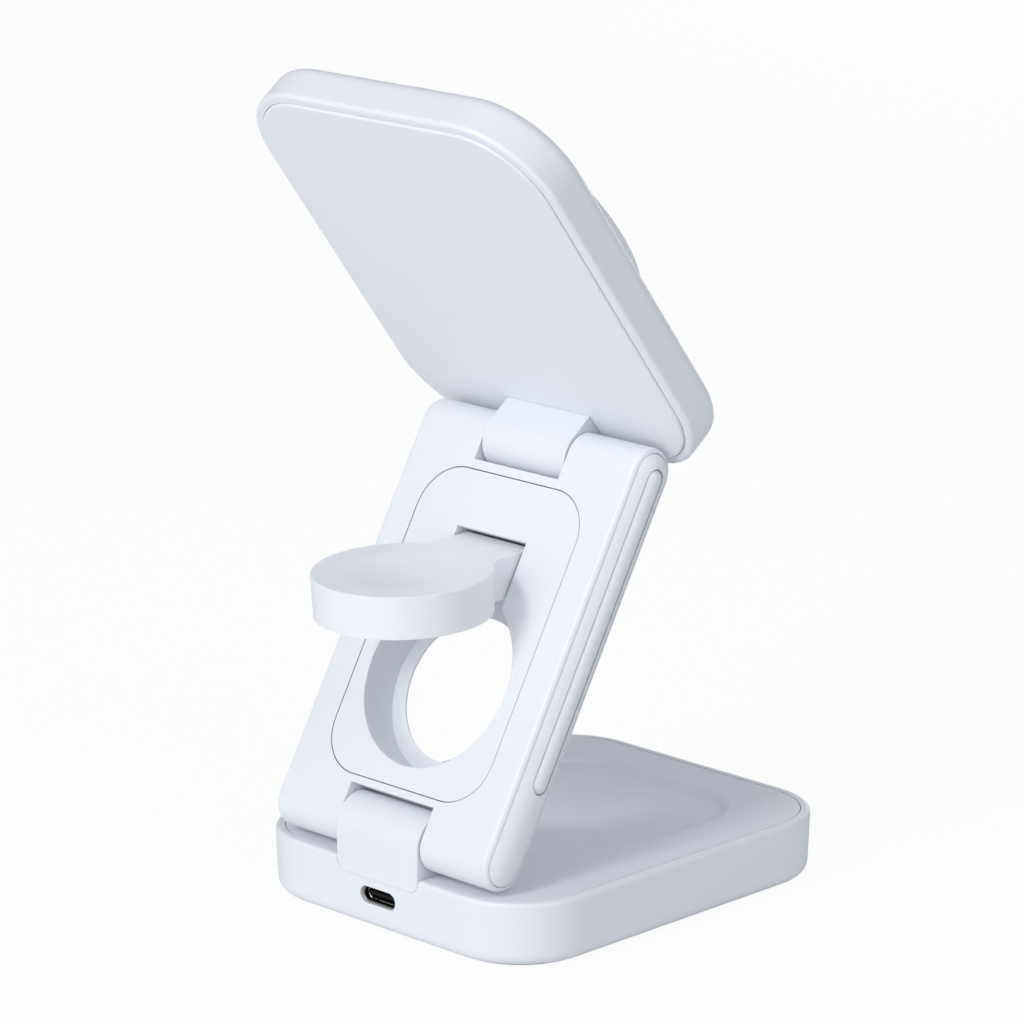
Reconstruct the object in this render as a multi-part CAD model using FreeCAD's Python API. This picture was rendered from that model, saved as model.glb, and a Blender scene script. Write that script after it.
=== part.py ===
import FreeCAD, Part
import math
import os

# A folding three in one wireless charger, in millimetres and degrees.
# X runs along the hinges, -Y is the side with the power socket, Z is up.
# The origin is the middle of the foot pad, on the table.
# Each moving group is drawn flat in its own frame, with X along its hinge,
# and is then turned about X and moved to its open place.

# Base
base_width = 73.8
base_length = 86.8
base_height = 12.6
base_corner = 16.0
base_draft = 0.5
base_bottom_round = 2.4
base_top_round = 0.8
base_wall = 2.8
base_floor = 2.2
base_rim = 1.8
top_plate_thickness = 1.8
seam = 0.12
seam_round = 0.25

# Foot pad under the base
pad_margin = 3.0
pad_thickness = 0.8
pad_proud = 0.4

# Shallow dish for the earbud case
dish_width = 48.6
dish_length = 40.0
dish_corner = 13.0
dish_depth = 0.8
dish_setback = 11.2
dish_slope = 1.2
dish_edge_round = 1.4

# Hinges between base, arm and head
knuckle_radius = 5.45
knuckle_width = 21.0
knuckle_foot_round = 2.0
knuckle_edge_round = 0.2
base_foot_depth = 8.3
head_foot_depth = 8.8
hinge_height = 18.35
arm_reach = 75.0
arm_angle = 60.0
head_angle = 127.0
shaft_radius = 2.0
shaft_bore_radius = 1.2
shaft_fit = 0.02
hinge_running_gap = 0.05
clip_wall = 1.2
clip_length = 7.0
clip_slit = 0.8
notch_gap = 0.25

# Arm
arm_width = 57.8
arm_thickness = 9.8
arm_end_round = 1.0
arm_wall = 2.0
inlay_width = 41.0
inlay_low = 7.1
inlay_top_margin = 7.5
inlay_corner = 9.0
inlay_thickness = 1.4
rear_cover_thickness = 1.5
cap_inset = 0.9
cap_crown = 1.5
cap_seat_depth = 1.2
cap_gap = 0.1
cap_edge_round = 0.25
bar_width = 3.6
bar_low = 14.0
bar_past_hinge = 1.0
bar_depth = 1.4
bar_proud = 0.3
bar_gap = 0.25
bar_crown = 0.8

# Watch charger and its well in the arm
well_middle = 28.6
puck_radius = 16.6
puck_draft = 0.3
puck_gap = 0.6
puck_thickness = 8.0
puck_edge_round = 0.28
ledge_width = 3.2
ledge_land = 0.35
hole_flare = 1.3
watch_pivot_along = 52.6
watch_pivot_height = 0.75
watch_tilt = 2.3
watch_arm_width = 17.0
watch_arm_gap = 0.35
watch_corner_round = 2.0
slot_end_gap = 0.35
slot_lip = 0.3
slot_corner_round = 2.5
watch_pin_radius = 1.25
watch_pin_grip = 5.0
watch_dish_radius = 12.3
watch_dish_depth = 0.8
watch_dish_rim_round = 19.0
watch_ceiling = 1.8
watch_cover_radius = 15.0
watch_cover_thickness = 1.2
watch_room_radius = 13.6

# Head
head_width = 73.6
head_length = 86.5
head_corner = 16.8
head_plate_distance = 5.7
head_plate_proud = 0.5
head_thickness = 8.4
head_wall = 2.8
head_front_wall = 1.5
head_rim = 1.8
head_plate_thickness = 1.8
head_rim_round = 0.8
head_front_round = 2.6

# Round phone charger on the head
disc_radius = 31.3
disc_middle = 43.7
disc_proud = 3.9
disc_wall = 1.2
disc_side_wall = 1.8
disc_seat_radius = 28.6
disc_seat_gap = 0.1
disc_edge_round = 0.6
skin_inset = 0.8
skin_thickness = 0.7
magnet_gap = 0.4
magnet_width = 3.2
magnet_height = 1.6
magnet_count = 16
magnet_spacing = 0.6

# Coils, ferrites and electronics
coil_thickness = 1.2
ferrite_thickness = 0.8
ferrite_margin = 1.0
phone_coil_outer = 21.0
phone_coil_inner = 10.5
earbud_coil_outer = 15.0
earbud_coil_inner = 6.5
watch_coil_outer = 10.0
watch_coil_inner = 4.6
watch_magnet_radius = 3.6
watch_board_thickness = 0.8
socket_width = 8.94
socket_height = 3.1
socket_length = 7.3
socket_sheet = 0.3
socket_recess = 0.3
socket_opening_gap = 0.1
tongue_width = 6.7
tongue_thickness = 0.7
tongue_setback = 0.8
tongue_root_length = 1.2
tongue_root_height = 2.2
board_thickness = 1.0
board_stand = 1.7
board_post_radius = 2.2
board_post_spread = 15.0
board_width = 46.0
board_setback = 8.2
board_length = 22.0
board_corner = 1.5
board_nose_width = 9.4
chip_size = 5.0
chip_corner = 0.5
chip_height = 0.9
chip_pitch = 9.0
chip_count = 4
head_chip_count = 3
inductor_size = 5.0
inductor_height = 2.8
inductor_pitch = 8.0
inductor_count = 3
weight_width = 54.0
weight_thickness = 2.5
weight_corner = 7.0
weight_board_gap = 3.5
weight_wall_gap = 3.7
head_board_width = 42.0
head_board_length = 8.5
head_board_low = 6.2

# Screws
screw_shank_radius = 0.95
screw_hole_gap = 0.05
screw_head_radius = 1.9
screw_head_height = 0.8
screw_head_gap = 0.15
screw_boss_radius = 2.5
screw_length = 8.0
screw_inset_x = 12.0
screw_inset_y = 13.5
screw_shift = -0.5
knuckle_screw_spread = 7.7
knuckle_post_radius = 2.3
knuckle_screw_grip = 3.0

# How far a cutting shape runs past the face it opens, and the smallest length that counts
past = 1.0
tiny = 1e-4

# Places that follow from the sizes above
floor_top = pad_proud + base_floor
recess_top = pad_thickness
plate_under = base_height - top_plate_thickness
pad_width = base_width - 2 * pad_margin
pad_length = base_length - 2 * pad_margin
pad_corner = base_corner - pad_margin
dish_middle = base_length / 2 - dish_setback - dish_length / 2
board_low = -base_length / 2 + base_wall + board_setback
board_high = board_low + board_length
board_under = floor_top + board_stand
board_top = board_under + board_thickness
weight_low = board_high + weight_board_gap
weight_high = base_length / 2 - base_wall - weight_wall_gap
hinge_setback = -base_length / 2 + knuckle_radius
hinge_origin = FreeCAD.Vector(0, hinge_setback, hinge_height)
arm_radius = arm_thickness / 2
cap_face = arm_width / 2
shell_end = cap_face - cap_crown
inlay_high = arm_reach - inlay_top_margin
bar_high = arm_reach + bar_past_hinge
notch_half = knuckle_width / 2 + notch_gap
notch_radius = knuckle_radius + notch_gap + hinge_running_gap
well_radius = puck_radius + puck_gap
ledge_height = -arm_radius + rear_cover_thickness
inlay_under = arm_radius - inlay_thickness
watch_top = arm_radius - watch_pivot_height
watch_bottom = watch_top - puck_thickness
watch_reach = watch_pivot_along - well_middle
slot_half = watch_arm_width / 2 + watch_arm_gap
slot_end = watch_pivot_along - watch_bottom + slot_end_gap
clip_outer = shaft_radius + hinge_running_gap + clip_wall
plate_top = -head_plate_distance
rim_top = plate_top - head_plate_proud
head_front = rim_top - head_thickness
head_middle = head_length / 2 - knuckle_radius
head_inside = head_front + head_front_wall
head_plate_under = plate_top - head_plate_thickness
disc_front = head_front - disc_proud
disc_inside = disc_front + skin_thickness + disc_wall
coil_top_phone = disc_inside + coil_thickness
magnet_outer = disc_seat_radius - disc_side_wall - magnet_gap
magnet_inner = magnet_outer - magnet_width
watch_coil_top = watch_top - watch_ceiling
watch_ferrite_top = watch_coil_top - coil_thickness
watch_cover_top = watch_bottom + watch_cover_thickness


def vec(x, y, z):
    return FreeCAD.Vector(x, y, z)


def arc_point(x, y, z, radius, angle):
    turn = math.radians(angle)
    return vec(x + radius * math.cos(turn), y + radius * math.sin(turn), z)


# Closed outline of a rectangle with round corners, at one height
def rounded_wire(width, length, corner, level, middle=0.0):
    x = width / 2 - corner
    y = length / 2 - corner
    centres = [(x, y, 0), (-x, y, 90), (-x, -y, 180), (x, -y, 270)]
    arcs = []
    for cx, cy, start in centres:
        points = [arc_point(cx, cy + middle, level, corner, start + step) for step in (0, 45, 90)]
        arcs.append((Part.Arc(*points).toShape(), points[0], points[2]))
    edges = []
    for index, (arc, first, last) in enumerate(arcs):
        edges.append(arc)
        following = arcs[(index + 1) % 4][1]
        if last.distanceToPoint(following) > tiny:
            edges.append(Part.LineSegment(last, following).toShape())
    return Part.Wire(edges)


# Plate with round corners between two heights
def rounded_plate(width, length, corner, low, high, middle=0.0):
    face = Part.Face(rounded_wire(width, length, corner, low, middle))
    return face.extrude(vec(0, 0, high - low))


def box(x_low, x_high, y_low, y_high, z_low, z_high):
    return Part.makeBox(x_high - x_low, y_high - y_low, z_high - z_low, vec(x_low, y_low, z_low))


def disc(radius, low, high, middle=0.0, across=0.0):
    return Part.makeCylinder(radius, high - low, vec(across, middle, low))


def ring(outer, inner, low, high, middle=0.0):
    return disc(outer, low, high, middle).cut(disc(inner, low, high, middle))


# Round bar along X
def rod(radius, x_low, x_high, y, z):
    return Part.makeCylinder(radius, x_high - x_low, vec(x_low, y, z), vec(1, 0, 0))


# Outline in the YZ plane, drawn out along X about the middle
def drawn_across(wire, width):
    shape = Part.Face(wire).extrude(vec(width, 0, 0))
    shape.translate(vec(-width / 2, 0, 0))
    return shape


# Bar with two round ends, seen from the side, lying along Y
def stadium(radius, y_low, y_high, x_low, x_high):
    low = y_low + radius
    high = y_high - radius
    wire = Part.Wire([
        Part.LineSegment(vec(x_low, low, radius), vec(x_low, high, radius)).toShape(),
        Part.Arc(vec(x_low, high, radius), vec(x_low, y_high, 0), vec(x_low, high, -radius)).toShape(),
        Part.LineSegment(vec(x_low, high, -radius), vec(x_low, low, -radius)).toShape(),
        Part.Arc(vec(x_low, low, -radius), vec(x_low, y_low, 0), vec(x_low, low, radius)).toShape(),
    ])
    return Part.Face(wire).extrude(vec(x_high - x_low, 0, 0))


# The same bar with a face that is crowned along its sides and domed at its ends
def crowned_stadium(radius, y_low, y_high, x_low, x_high, crown):
    low = y_low + radius
    high = y_high - radius
    edge = x_high - crown
    curve = (radius ** 2 + crown ** 2) / (2 * crown)
    turn = math.asin(radius / curve) / 2
    between = vec(x_high - curve + curve * math.cos(turn), 0, curve * math.sin(turn))
    half = Part.Face(Part.Wire([
        Part.LineSegment(vec(x_low, 0, 0), vec(x_low, 0, radius)).toShape(),
        Part.LineSegment(vec(x_low, 0, radius), vec(edge, 0, radius)).toShape(),
        Part.Arc(vec(edge, 0, radius), between, vec(x_high, 0, 0)).toShape(),
        Part.LineSegment(vec(x_high, 0, 0), vec(x_low, 0, 0)).toShape(),
    ]))
    section = Part.Face(Part.Wire([
        Part.LineSegment(vec(x_low, low, -radius), vec(x_low, low, radius)).toShape(),
        Part.LineSegment(vec(x_low, low, radius), vec(edge, low, radius)).toShape(),
        Part.Arc(vec(edge, low, radius), vec(x_high, low, 0), vec(edge, low, -radius)).toShape(),
        Part.LineSegment(vec(edge, low, -radius), vec(x_low, low, -radius)).toShape(),
    ]))
    low_end = half.revolve(vec(0, 0, 0), vec(1, 0, 0), 180)
    low_end.translate(vec(0, low, 0))
    high_end = half.revolve(vec(0, 0, 0), vec(-1, 0, 0), 180)
    high_end.translate(vec(0, high, 0))
    return section.extrude(vec(0, high - low, 0)).fuse([low_end, high_end]).removeSplitter()


# Round cone between two heights
def cone(low_radius, high_radius, low, high, middle):
    return Part.makeCone(low_radius, high_radius, high - low, vec(0, middle, low))


# Rounds every edge that the test picks
def soften(shape, radius, wanted):
    edges = [edge for edge in shape.Edges if wanted(edge.BoundBox)]
    return shape.makeFillet(radius, edges)


def flat_at(level):
    return lambda bounds: abs(bounds.ZMin - level) < tiny and abs(bounds.ZMax - level) < tiny


def across_at(place):
    return lambda bounds: abs(bounds.XMin - place) < tiny and abs(bounds.XMax - place) < tiny


def mirrored(shape):
    return shape.mirror(vec(0, 0, 0), vec(1, 0, 0))


def both_sides(shape):
    return [shape, mirrored(shape)]


# Turns a piece about X and moves its frame's origin to a place
def placed(shape, angle, origin):
    result = shape.copy()
    result.rotate(vec(0, 0, 0), vec(1, 0, 0), angle)
    result.translate(origin)
    return result


def in_arm(shape):
    return placed(shape, arm_angle, hinge_origin)


def arm_point(along, height):
    turn = math.radians(arm_angle)
    y = along * math.cos(turn) - height * math.sin(turn)
    z = along * math.sin(turn) + height * math.cos(turn)
    return hinge_origin + vec(0, y, z)


def in_head(shape):
    return placed(shape, head_angle, arm_point(arm_reach, 0))


def in_watch(shape):
    return placed(shape, watch_tilt, arm_point(watch_pivot_along, watch_pivot_height))


# Places of the four screws that close the base
def screw_places():
    reach_x = base_width / 2 - screw_inset_x
    reach_y = base_length / 2 - screw_inset_y
    places = []
    for side_x in (-1, 1):
        for side_y in (-1, 1):
            places.append((side_x * reach_x, screw_shift + side_y * reach_y))
    return places


# One pan-head screw with its head down, standing on its head's upper face
def screw(x, y, seat, length):
    head = disc(screw_head_radius, seat - screw_head_height, seat, y, x)
    shank = disc(screw_shank_radius, seat, seat + length, y, x)
    return head.fuse(shank).removeSplitter()


# Room for such a screw in the floor
def screw_room(x, y, seat, top):
    head = disc(screw_head_radius + screw_head_gap, 0, seat, y, x)
    return head.fuse(disc(screw_shank_radius + screw_hole_gap, 0, top, y, x))


# Whether an edge belongs to the outline of a knuckle's front, back or side faces
def knuckle_outline(bounds):
    on_flat = bounds.YLength < tiny and bounds.ZMax < -tiny or bounds.YLength < tiny and bounds.XLength < tiny
    over_top = bounds.XLength < tiny and bounds.YLength > knuckle_radius
    return on_flat or over_top


# Block with flat sides that rounds over the hinge axis at the frame's origin
def knuckle(foot_depth):
    r = knuckle_radius
    profile = Part.Wire([
        Part.LineSegment(vec(0, -r, -foot_depth), vec(0, -r, 0)).toShape(),
        Part.Arc(vec(0, -r, 0), vec(0, 0, r), vec(0, r, 0)).toShape(),
        Part.LineSegment(vec(0, r, 0), vec(0, r, -foot_depth)).toShape(),
        Part.LineSegment(vec(0, r, -foot_depth), vec(0, -r, -foot_depth)).toShape(),
    ])
    block = drawn_across(profile, knuckle_width)
    foot_edges = [edge for edge in block.Edges
                  if abs(edge.BoundBox.ZMin + foot_depth) < tiny and edge.BoundBox.ZMax < -foot_depth + tiny
                  and edge.BoundBox.XLength < tiny]
    block = block.makeFillet(knuckle_foot_round, foot_edges)
    block = soften(block, knuckle_edge_round, knuckle_outline)
    bore = rod(shaft_radius + shaft_fit, -knuckle_width, knuckle_width, 0, 0)
    lead_way = disc(shaft_bore_radius, -foot_depth, 0)
    return block.cut(bore).cut(lead_way)


# Room for a knuckle's foot, from its rounded lower corners up through a plate's top
def foot_room(foot_depth, top):
    height = top + foot_depth + 2 * knuckle_foot_round
    room = rounded_plate(knuckle_width + 2 * seam, height, knuckle_foot_round + seam,
                         -knuckle_radius - seam, 2 * knuckle_radius, height / 2 - foot_depth)
    return placed(room, 90, vec(0, 0, 0))


# Hollow shaft along a hinge axis
def hinge_shaft():
    half = notch_half + clip_length
    return rod(shaft_radius, -half, half, 0, 0).cut(rod(shaft_bore_radius, -half, half, 0, 0))


# Slit spring sleeves that grip the shaft on both sides of a notch
def friction_clips():
    inner = shaft_radius + hinge_running_gap
    low = notch_half
    high = notch_half + clip_length
    sleeve = rod(clip_outer, low, high, 0, 0).cut(rod(inner, low, high, 0, 0))
    sleeve = sleeve.cut(box(low, high, -clip_slit / 2, clip_slit / 2, 0, 2 * clip_outer))
    return both_sides(sleeve)


# Outer tray of the base, with its wall leaning in towards the table
def base_shell():
    low = rounded_wire(base_width - 2 * base_draft, base_length - 2 * base_draft,
                       base_corner - base_draft, pad_proud)
    high = rounded_wire(base_width, base_length, base_corner, base_height)
    body = Part.makeLoft([low, high], True, True)
    body = soften(body, base_bottom_round, flat_at(pad_proud))
    body = soften(body, base_top_round, flat_at(base_height))
    body = body.cut(rounded_plate(base_width - 2 * base_wall, base_length - 2 * base_wall,
                                  base_corner - base_wall, floor_top, base_height + past))
    body = body.cut(rounded_plate(base_width - 2 * base_rim, base_length - 2 * base_rim,
                                  base_corner - base_rim, plate_under, base_height + past))
    body = body.cut(rounded_plate(pad_width + 2 * seam, pad_length + 2 * seam,
                                  pad_corner + seam, 0, recess_top))
    post_top = hinge_height - base_foot_depth
    for side in (-1, 1):
        body = body.fuse(disc(knuckle_post_radius, floor_top, post_top, hinge_setback,
                              side * knuckle_screw_spread))
    for x in (-board_post_spread, board_post_spread):
        for y in (board_low + board_post_radius, board_high - board_post_radius):
            body = body.fuse(disc(board_post_radius, floor_top, board_under, y, x))
    room = foot_room(base_foot_depth, base_height)
    room.translate(hinge_origin)
    body = body.cut(room)
    body = body.cut(socket_opening())
    seat = recess_top + screw_head_height
    for x, y in screw_places():
        body = body.cut(screw_room(x, y, seat, base_height))
    for side in (-1, 1):
        body = body.cut(screw_room(side * knuckle_screw_spread, hinge_setback, seat, base_height))
    return body.removeSplitter()


def socket_middle():
    return board_top + socket_height / 2


# Solid block with two round sides, along Y, around the socket's middle
def socket_block(width, height, y_low, y_high):
    block = rounded_plate(width, height, height / 2, 0, y_high - y_low)
    block.rotate(vec(0, 0, 0), vec(1, 0, 0), 90)
    block.translate(vec(0, y_high, socket_middle()))
    return block


def socket_opening():
    return socket_block(socket_width + 2 * socket_opening_gap, socket_height + 2 * socket_opening_gap,
                        -base_length, -base_length / 2 + 2 * base_wall)


def socket_front():
    return -base_length / 2 + base_draft + socket_recess


def usb_socket():
    front = socket_front()
    back = front + socket_length
    shell = socket_block(socket_width, socket_height, front, back)
    inside = socket_block(socket_width - 2 * socket_sheet, socket_height - 2 * socket_sheet,
                          front - past, back - socket_sheet)
    return shell.cut(inside)


def usb_tongue():
    front = socket_front() + tongue_setback
    back = socket_front() + socket_length - socket_sheet
    side = tongue_width / 2
    blade_half = tongue_thickness / 2
    root_half = tongue_root_height / 2
    middle = socket_middle()
    blade = box(-side, side, front, back, middle - blade_half, middle + blade_half)
    root = box(-side, side, back - tongue_root_length, back, middle - root_half, middle + root_half)
    return blade.fuse(root).removeSplitter()


# Space of the earbud case's dish, with a sloping wall all round
def dish_space():
    floor = base_height - dish_depth
    low = rounded_wire(dish_width - 2 * dish_slope, dish_length - 2 * dish_slope,
                       dish_corner - dish_slope, floor, dish_middle)
    high = rounded_wire(dish_width, dish_length, dish_corner, base_height, dish_middle)
    hollow = Part.makeLoft([low, high], True, True)
    hollow = soften(hollow, dish_edge_round, flat_at(floor))
    return hollow.fuse(rounded_plate(dish_width, dish_length, dish_corner, base_height,
                                     base_height + past, dish_middle))


# Whether an edge is part of the dish's outline in the top face
def dish_outline(bounds):
    low = dish_middle - dish_length / 2 - tiny
    high = dish_middle + dish_length / 2 + tiny
    return flat_at(base_height)(bounds) and bounds.YMin > low and bounds.YMax < high


# Cover of the base, with the dish and the bosses that the screws bite into
def base_top_plate():
    width = base_width - 2 * base_rim - 2 * seam
    length = base_length - 2 * base_rim - 2 * seam
    plate = rounded_plate(width, length, base_corner - base_rim - seam, plate_under, base_height)
    plate = soften(plate.cut(dish_space()), dish_edge_round, dish_outline)
    plate = soften(plate, seam_round, lambda b: flat_at(base_height)(b) and not dish_outline(b))
    for x, y in screw_places():
        plate = plate.fuse(disc(screw_boss_radius, floor_top, plate_under, y, x))
    room = foot_room(base_foot_depth, base_height)
    room.translate(hinge_origin)
    plate = plate.cut(room)
    seat = recess_top + screw_head_height
    for x, y in screw_places():
        plate = plate.cut(disc(screw_shank_radius + screw_hole_gap, 0, seat + screw_length, y, x))
    return plate.removeSplitter()


def base_foot_pad():
    pad = rounded_plate(pad_width, pad_length, pad_corner, 0, pad_thickness)
    return soften(pad, pad_proud / 2, flat_at(0))


def base_screws():
    seat = recess_top + screw_head_height
    return [screw(x, y, seat, screw_length) for x, y in screw_places()]


def base_knuckle():
    block = placed(knuckle(base_foot_depth), 0, hinge_origin)
    post_top = hinge_height - base_foot_depth
    for side in (-1, 1):
        block = block.cut(disc(screw_shank_radius + screw_hole_gap, post_top,
                               post_top + knuckle_screw_grip, hinge_setback, side * knuckle_screw_spread))
    return block


def knuckle_screws():
    seat = recess_top + screw_head_height
    length = hinge_height - base_foot_depth + knuckle_screw_grip - seat
    return [screw(side * knuckle_screw_spread, hinge_setback, seat, length) for side in (-1, 1)]


def counterweight():
    return rounded_plate(weight_width, weight_high - weight_low, weight_corner, floor_top,
                         floor_top + weight_thickness, (weight_low + weight_high) / 2).cut(weight_notches())


# Bites in the steel plate that clear the screw bosses behind it
def weight_notches():
    parts = []
    for x, y in screw_places():
        if y > 0:
            parts.append(disc(screw_boss_radius + 2 * notch_gap, floor_top,
                              floor_top + weight_thickness, y, x))
    return parts[0].fuse(parts[1:])


# Circuit board with a narrow nose under the socket
def main_board():
    middle = (board_high + board_low) / 2
    board = rounded_plate(board_width, board_length, board_corner, board_under, board_top, middle)
    nose_front = -base_length / 2 + base_wall + notch_gap
    nose = box(-board_nose_width / 2, board_nose_width / 2, nose_front, middle, board_under, board_top)
    board = board.fuse(nose)
    for x, y in screw_places():
        if y < 0:
            board = board.cut(disc(screw_boss_radius + 2 * notch_gap, board_under, board_top, y, x))
    return board.removeSplitter()


# Row of identical square chips on a board
def chip_row(size, height, pitch, count, level, middle):
    chips = []
    for index in range(count):
        x = (index - (count - 1) / 2) * pitch
        chips.append(rounded_plate(size, size, chip_corner, level, level + height, middle))
        chips[-1].translate(vec(x, 0, 0))
    return chips


def board_chips():
    return chip_row(chip_size, chip_height, chip_pitch, chip_count, board_top, board_low + chip_size)


def board_inductors():
    coils = chip_row(inductor_size, inductor_height, inductor_pitch, inductor_count, board_top,
                     board_high - inductor_size)
    return [soften(coil, chip_corner / 2, flat_at(board_top + inductor_height)) for coil in coils]


def earbud_coil():
    return ring(earbud_coil_outer, earbud_coil_inner, plate_under - coil_thickness, plate_under,
                dish_middle)


def earbud_ferrite():
    top = plate_under - coil_thickness
    return disc(earbud_coil_outer + ferrite_margin, top - ferrite_thickness, top, dish_middle)


# Hollow outer body of the arm, open to the front and the back under its covers
def arm_shell():
    body = stadium(arm_radius, -arm_radius, arm_reach + arm_radius, -shell_end, shell_end)
    body = soften(body, arm_end_round, lambda b: b.XLength < tiny and abs(abs(b.XMin) - shell_end) < tiny)
    seat_radius = arm_radius - cap_inset
    seat = stadium(seat_radius, -seat_radius, arm_reach + seat_radius,
                   shell_end - cap_seat_depth, shell_end + past)
    for recess in both_sides(seat):
        body = body.cut(recess)
    body = body.cut(inlay_block(0, inlay_under, arm_radius + past))
    body = body.cut(inlay_block(0, -arm_radius - past, ledge_height))
    body = body.cut(arm_cavity())
    body = body.cut(well_space(ledge_height, arm_radius + past, slot_end))
    far = arm_reach + 2 * arm_radius
    near = -2 * arm_radius
    body = body.cut(box(-notch_half, notch_half, near, notch_radius, near, -near))
    body = body.cut(box(-notch_half, notch_half, arm_reach - notch_radius, far, near, -near))
    for along in (0, arm_reach):
        for bore in both_sides(rod(clip_outer, 0, notch_half + clip_length, along, 0)):
            body = body.cut(bore)
    pin = rod(watch_pin_radius, -slot_half - watch_pin_grip, slot_half + watch_pin_grip,
              watch_pivot_along, watch_pivot_height)
    return body.cut(pin).removeSplitter()


# Plate with the outline of the inlay, smaller all round by a margin
def inlay_block(margin, low, high):
    return rounded_plate(inlay_width - 2 * margin, inlay_high - inlay_low - 2 * margin,
                         inlay_corner - margin, low, high, (inlay_low + inlay_high) / 2)


# Lead space inside the arm, round the walls of the well and the slot
def arm_cavity():
    space = inlay_block(arm_wall, ledge_height, inlay_under)
    space = space.cut(disc(well_radius + arm_wall, ledge_height, inlay_under, well_middle))
    half = slot_half + watch_pin_grip + arm_wall
    return space.cut(box(-half, half, well_middle, slot_end + arm_wall, ledge_height, inlay_under))


# Round well and the slot that runs up from it to an end, with round corners between them
def well_space(low, high, end):
    slot = box(-slot_half, slot_half, well_middle, end, low, high)
    space = disc(well_radius, low, high, well_middle).fuse(slot).removeSplitter()
    return soften(space, slot_corner_round,
                  lambda b: b.ZLength > tiny and b.XLength < tiny and b.YMax < end - tiny)


# Front cover of the arm, whose lip runs a little over the shell at the slot's end
def arm_front_plate():
    plate = inlay_block(seam, inlay_under, arm_radius)
    plate = plate.cut(well_space(inlay_under - past, arm_radius + past, slot_end - slot_lip))
    return soften(plate, seam_round, flat_at(arm_radius))


# Rear cover of the arm, whose hole has a thin edge and opens out towards the back
def arm_rear_cover():
    cover = inlay_block(seam, -arm_radius, ledge_height)
    cover = soften(cover, seam_round, flat_at(-arm_radius))
    hole_radius = well_radius - ledge_width
    land = ledge_height - ledge_land
    slope = hole_flare / (land + arm_radius)
    cover = cover.cut(disc(hole_radius, land - tiny, ledge_height + past, well_middle))
    return cover.cut(cone(hole_radius + hole_flare + past * slope, hole_radius,
                          -arm_radius - past, land, well_middle))


# Crowned cover that closes one end of the arm's section, with a groove for its bar
def side_cap():
    radius = arm_radius - cap_inset - cap_gap
    cap = crowned_stadium(radius, -radius, arm_reach + radius, shell_end - cap_seat_depth,
                          cap_face, cap_crown)
    cap = soften(cap, cap_edge_round, across_at(shell_end))
    groove = stadium(bar_width / 2 + bar_gap, bar_low - bar_gap, bar_high + bar_gap,
                     cap_face - bar_depth, cap_face + past)
    return cap.cut(groove)


def side_bar():
    return crowned_stadium(bar_width / 2, bar_low, bar_high, cap_face - bar_depth,
                           cap_face + bar_proud, bar_crown)


def watch_pin():
    half = slot_half + watch_pin_grip
    return rod(watch_pin_radius, -half, half, watch_pivot_along, watch_pivot_height)


# Side view of the short lever, round about its pivot and as deep as the puck below its rim
def watch_lever():
    r = -watch_bottom
    end = -watch_reach
    profile = Part.Wire([
        Part.LineSegment(vec(0, end, r), vec(0, 0, r)).toShape(),
        Part.Arc(vec(0, 0, r), vec(0, r, 0), vec(0, 0, -r)).toShape(),
        Part.LineSegment(vec(0, 0, -r), vec(0, end, -r)).toShape(),
        Part.LineSegment(vec(0, end, -r), vec(0, end, r)).toShape(),
    ])
    return drawn_across(profile, watch_arm_width)


# Shallow bowl that locates the back of a watch, round in section, with a soft round rim
def watch_dish_space():
    rim = watch_dish_rim_round
    bowl = (watch_dish_radius ** 2 + watch_dish_depth ** 2) / (2 * watch_dish_depth) - rim
    turn = math.asin(watch_dish_radius / (bowl + rim))
    low = watch_top - watch_dish_depth
    meet = vec(bowl * math.sin(turn), 0, low + bowl * (1 - math.cos(turn)))
    in_bowl = vec(bowl * math.sin(turn / 2), 0, low + bowl * (1 - math.cos(turn / 2)))
    in_rim = vec(watch_dish_radius - rim * math.sin(turn / 2), 0, watch_top - rim * (1 - math.cos(turn / 2)))
    edge = vec(watch_dish_radius, 0, watch_top)
    profile = Part.Wire([
        Part.Arc(vec(0, 0, low), in_bowl, meet).toShape(),
        Part.Arc(meet, in_rim, edge).toShape(),
        Part.LineSegment(edge, edge + vec(0, 0, past)).toShape(),
        Part.LineSegment(edge + vec(0, 0, past), vec(0, 0, watch_top + past)).toShape(),
        Part.LineSegment(vec(0, 0, watch_top + past), vec(0, 0, low)).toShape(),
    ])
    space = Part.Face(profile).revolve(vec(0, 0, 0), vec(0, 0, 1), 360)
    space.translate(vec(0, -watch_reach, 0))
    return space


# Puck and lever moulded in one, with the dish in the top and a room that opens downwards
def watch_body():
    half = watch_arm_width / 2
    puck = cone(puck_radius - puck_draft, puck_radius, watch_bottom, watch_top, -watch_reach)
    body = puck.fuse(watch_lever()).removeSplitter()
    body = soften(body, watch_corner_round,
                  lambda b: abs(abs(b.XMin) - half) < tiny and b.XLength < tiny
                  and b.YLength < past and b.ZLength > past)
    body = soften(body, puck_edge_round, flat_at(watch_top))
    body = body.cut(watch_dish_space())
    body = body.cut(disc(watch_cover_radius + seam, watch_bottom - past, watch_cover_top, -watch_reach))
    body = body.cut(disc(watch_room_radius, watch_bottom, watch_coil_top, -watch_reach))
    lead_way = Part.makeCylinder(shaft_bore_radius, watch_reach, vec(0, -watch_reach, 0), vec(0, 1, 0))
    body = body.cut(lead_way)
    bore = rod(watch_pin_radius + hinge_running_gap, -watch_arm_width, watch_arm_width, 0, 0)
    return body.cut(bore).removeSplitter()


# Disc that closes the puck from below
def watch_rear_cover():
    cover = disc(watch_cover_radius, watch_bottom, watch_cover_top, -watch_reach)
    return soften(cover, seam_round, flat_at(watch_bottom))


def watch_coil():
    return ring(watch_coil_outer, watch_coil_inner, watch_ferrite_top, watch_coil_top, -watch_reach)


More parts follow.
